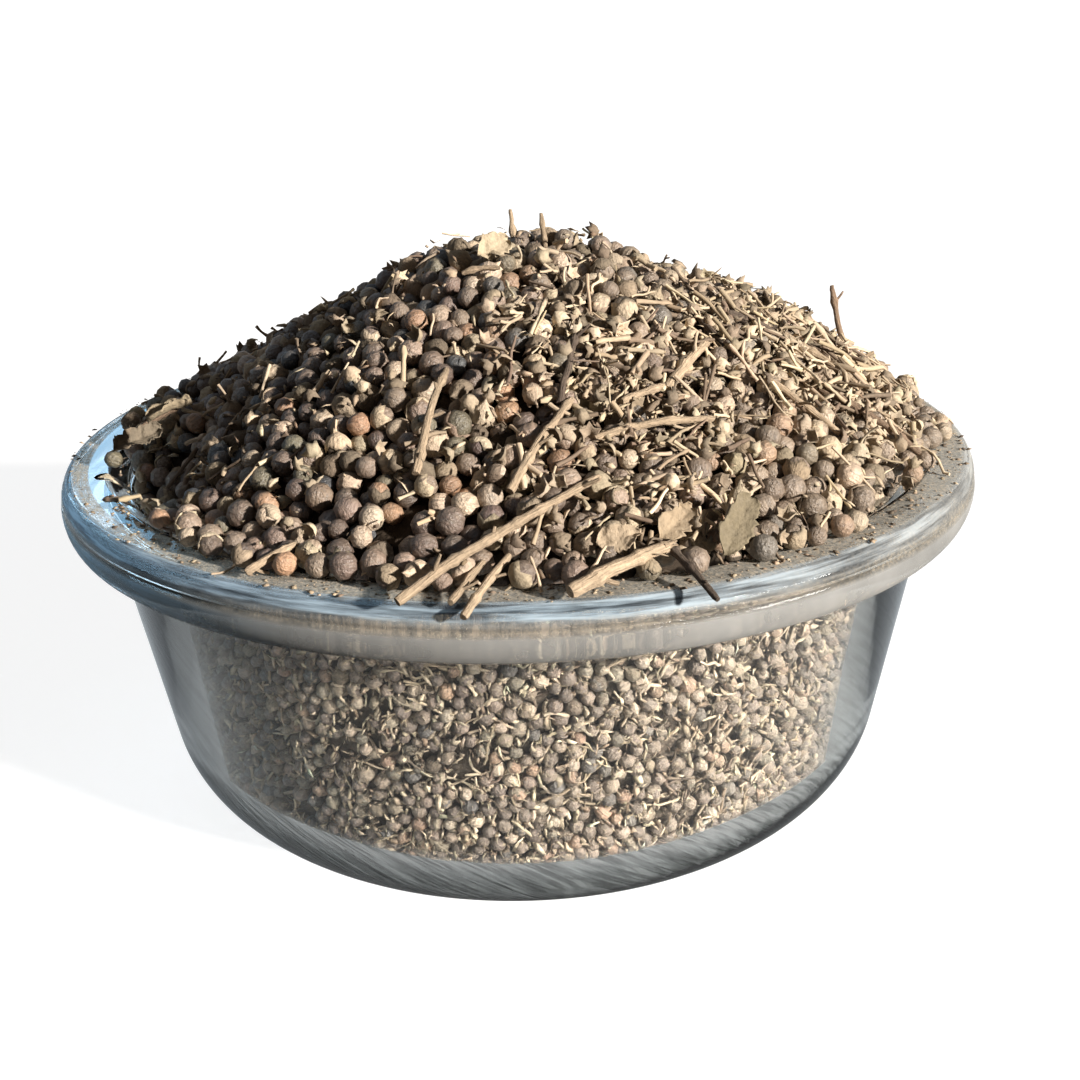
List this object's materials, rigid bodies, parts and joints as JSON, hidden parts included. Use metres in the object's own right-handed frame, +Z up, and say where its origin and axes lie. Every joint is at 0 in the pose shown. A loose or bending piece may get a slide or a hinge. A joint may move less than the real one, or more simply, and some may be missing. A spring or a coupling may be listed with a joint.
{
  "type": "bowl of chaste tree seeds",
  "caption": "Round clear glass storage bowl with a flat flanged rim, heaped above the rim with dried chaste tree fruit, twigs and leaf flakes.",
  "frame": {"origin": "centre of the bowl's flat underside, on the surface it stands on", "axes": "+Z up along the bowl's axis; -Y towards the viewer of the picture, +X to its right"},
  "size_m": [0.154, 0.156, 0.1006],
  "materials": {
    "clear_glass": "smooth clear pressed glass, faintly blue-grey, dusty on the flat of the rim",
    "dried_fruit": "dry matt fruit, grey-brown with a pale bloom and tan calyx cups, mixed with tan twigs and dusty leaf"
  },
  "bodies": {
    "root": {"glass_bowl": "clear_glass", "fruit_heap": "dried_fruit"}
  },
  "joints": []
}
